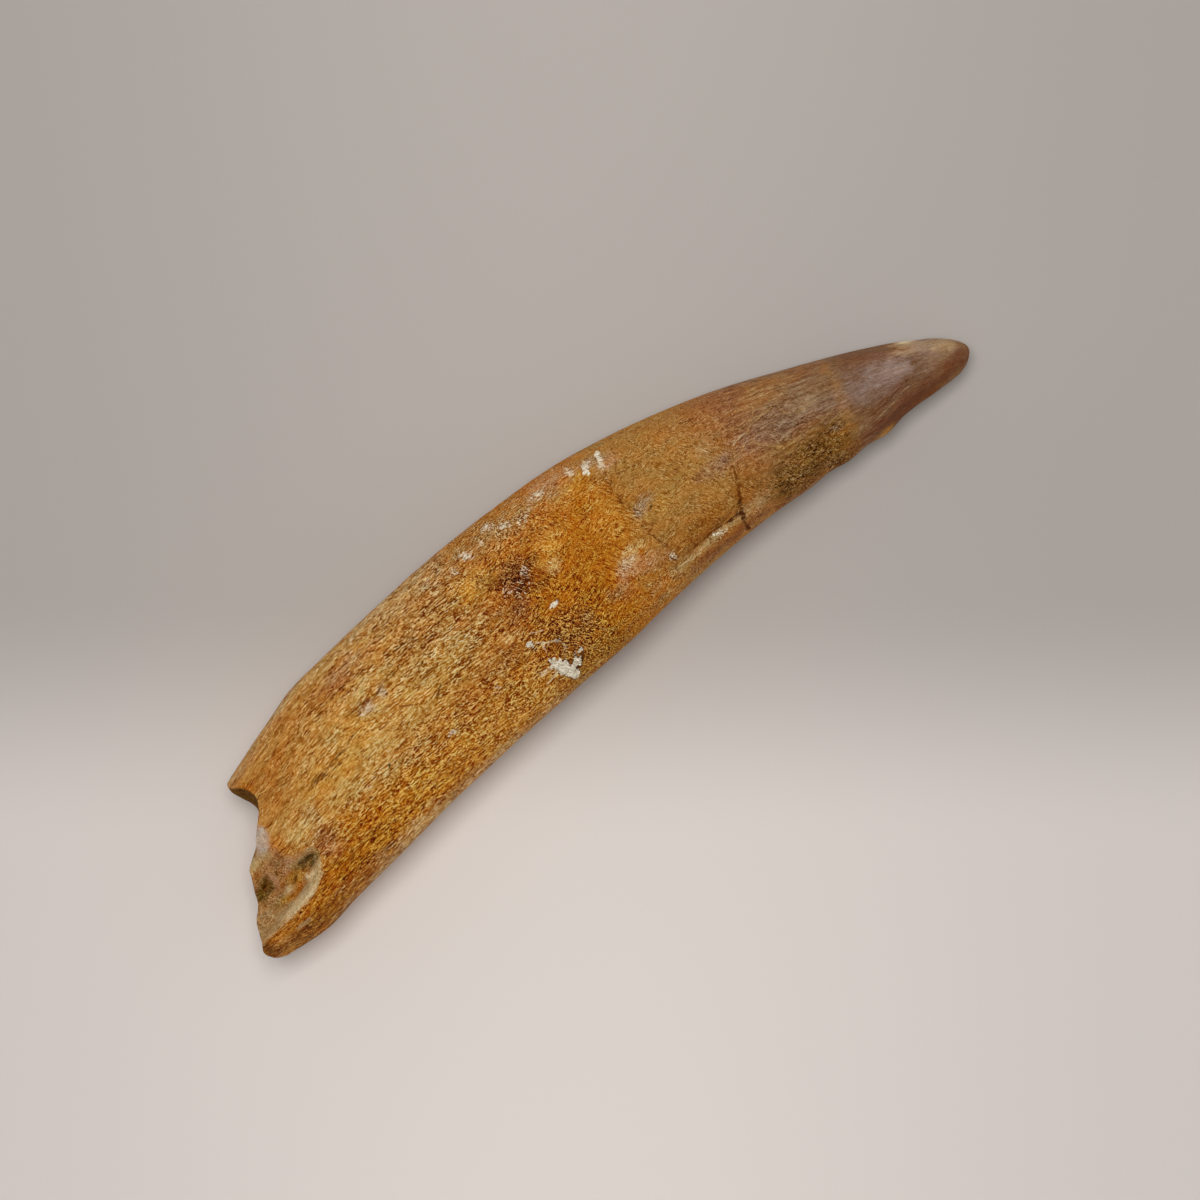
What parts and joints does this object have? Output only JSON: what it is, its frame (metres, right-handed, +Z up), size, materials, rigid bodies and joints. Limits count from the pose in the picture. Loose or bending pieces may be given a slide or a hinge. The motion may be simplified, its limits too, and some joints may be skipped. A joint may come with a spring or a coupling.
{
  "type": "fossil spinosaurus tooth",
  "caption": "Long curved fossil predator tooth with a fluted conical crown and a fibrous root, broken open at the root end and lying on its side.",
  "frame": {"origin": "on the resting surface, under the middle of the tooth's bounding box", "axes": "+X from the broken root end to the tip of the crown, +Y towards the convex edge, +Z up from the resting surface"},
  "size_m": [0.12, 0.0278, 0.0189],
  "materials": {
    "fossil_tooth": "mineralised dentine and enamel: ochre fibrous root, tan neck, red-brown satin fluted crown"
  },
  "bodies": {
    "root": {"fossil_tooth": "fossil_tooth"}
  },
  "joints": []
}
